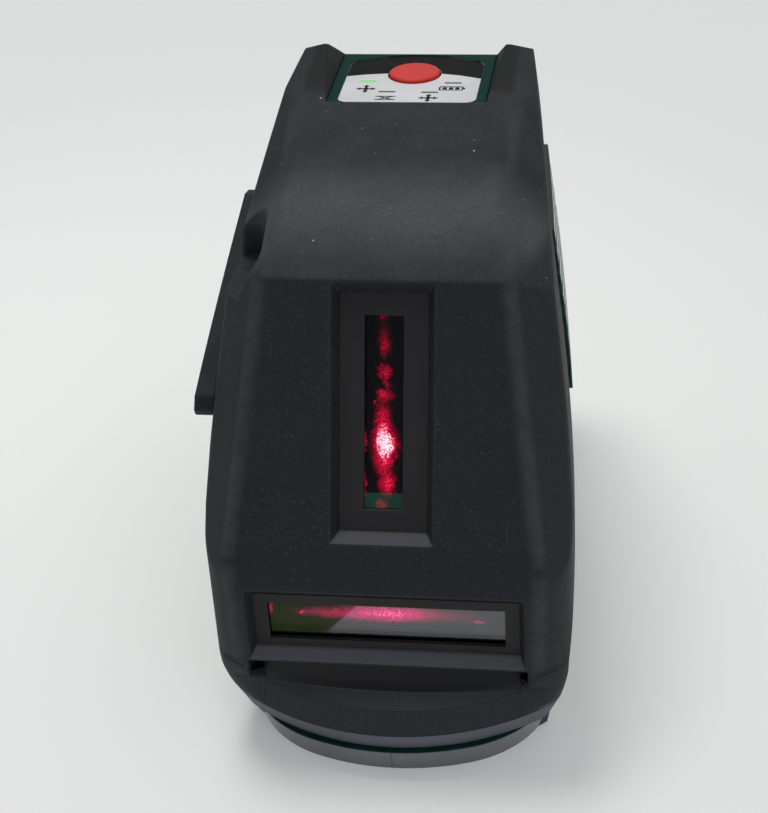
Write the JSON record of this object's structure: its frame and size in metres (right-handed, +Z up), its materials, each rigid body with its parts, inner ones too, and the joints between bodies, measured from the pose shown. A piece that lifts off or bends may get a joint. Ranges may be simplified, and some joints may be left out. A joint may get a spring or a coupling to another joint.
{
  "type": "cross line laser level",
  "caption": "Self-levelling cross line laser level with a sloped soft-grip front, tall and wide laser windows, top keypad, side lock switch, rear battery lid and tripod socket.",
  "frame": {"origin": "centre of the tripod socket's mouth, on the plane that the level stands on", "axes": "+Z up, -Y towards the laser windows, +X to the right as seen from the front"},
  "size_m": [0.0699, 0.1226, 0.1093],
  "materials": {
    "soft_grip": "matte soft-touch",
    "housing_green": "satin moulded",
    "bezel_grey": "matte moulded",
    "window_glass": "clear",
    "seal_rubber": "matte",
    "label_print": "printed film",
    "button_red": "satin",
    "light_bars": "translucent",
    "circuit_board": "solder mask",
    "black_plastic": "moulded",
    "steel": "plain",
    "cast_alloy": "cast",
    "brass": "turned",
    "copper": "plain copper",
    "magnet_plate": "nickel plated",
    "lens_glass": "clear",
    "cell_jacket": "printed jacket"
  },
  "bodies": {
    "housing": {"front_cover": "soft_grip", "left_housing": "housing_green", "right_housing": "housing_green", "keypad_panel": "housing_green", "vertical_bezel": "bezel_grey", "horizontal_bezel": "bezel_grey", "vertical_window": "window_glass", "horizontal_window": "window_glass", "vertical_seal": "seal_rubber", "horizontal_seal": "seal_rubber", "keypad_label": "label_print", "indicator_lights": "light_bars", "keypad_board": "circuit_board", "main_board": "circuit_board", "tact_switch": "black_plastic", "power_switch": "black_plastic", "battery_box": "black_plastic", "housing_screws": "steel", "chassis_screws": "steel", "magnet_yoke": "steel", "lever_pin": "steel", "battery_contacts": "steel", "lid_hinge_pin": "steel", "chassis": "cast_alloy", "outer_bearings": "brass", "tripod_insert": "brass", "damping_magnets": "magnet_plate", "battery_cells": "cell_jacket"},
    "button": {"mode_button": "button_red", "switch_plunger": "black_plastic"},
    "slide": {"slide_switch": "soft_grip", "switch_leg": "black_plastic", "switch_knob": "black_plastic"},
    "lever": {"lock_lever": "steel", "brake_pad": "seal_rubber"},
    "ring": {"gimbal_ring": "cast_alloy", "ring_axles": "steel", "inner_bearings": "brass"},
    "pendulum": {"pendulum_body": "cast_alloy", "pendulum_axles": "steel", "vertical_laser": "brass", "vertical_lens": "lens_glass", "horizontal_laser": "brass", "horizontal_lens": "lens_glass", "adjusting_screws": "steel", "counterweight": "brass", "damping_plate": "copper"},
    "lid": {"battery_lid": "housing_green"}
  },
  "joints": [
    {"name": "switch_slide", "type": "slide", "parent": "housing", "child": "slide", "axis": [0, 0.848, 0.5299], "range_m": [0, 0.004]},
    {"name": "lock_pivot", "type": "hinge", "parent": "housing", "child": "lever", "pos_m": [0.012, -0.018, 0.00935], "axis": [0, 1, 0], "range_deg": [0, 3.5]},
    {"name": "button_press", "type": "slide", "parent": "housing", "child": "button", "axis": [0, -0.0837, -0.9965], "range_m": [0, 0.0008], "stiffness_N_per_m": 600},
    {"name": "ring_pitch", "type": "hinge", "parent": "housing", "child": "ring", "pos_m": [0, -0.018, 0.082], "axis": [1, 0, 0], "range_deg": [-4, 4]},
    {"name": "pendulum_roll", "type": "hinge", "parent": "ring", "child": "pendulum", "pos_m": [0, -0.018, 0.082], "axis": [0, 1, 0], "range_deg": [-4, 4]},
    {"name": "lid_hinge", "type": "hinge", "parent": "housing", "child": "lid", "pos_m": [0, 0.06, 0.0108], "axis": [-1, 0, 0], "range_deg": [0, 90]}
  ],
  "couplings": [
    {"joint": "lock_pivot", "follows": "switch_slide", "rad_per_m": 14.729}
  ]
}
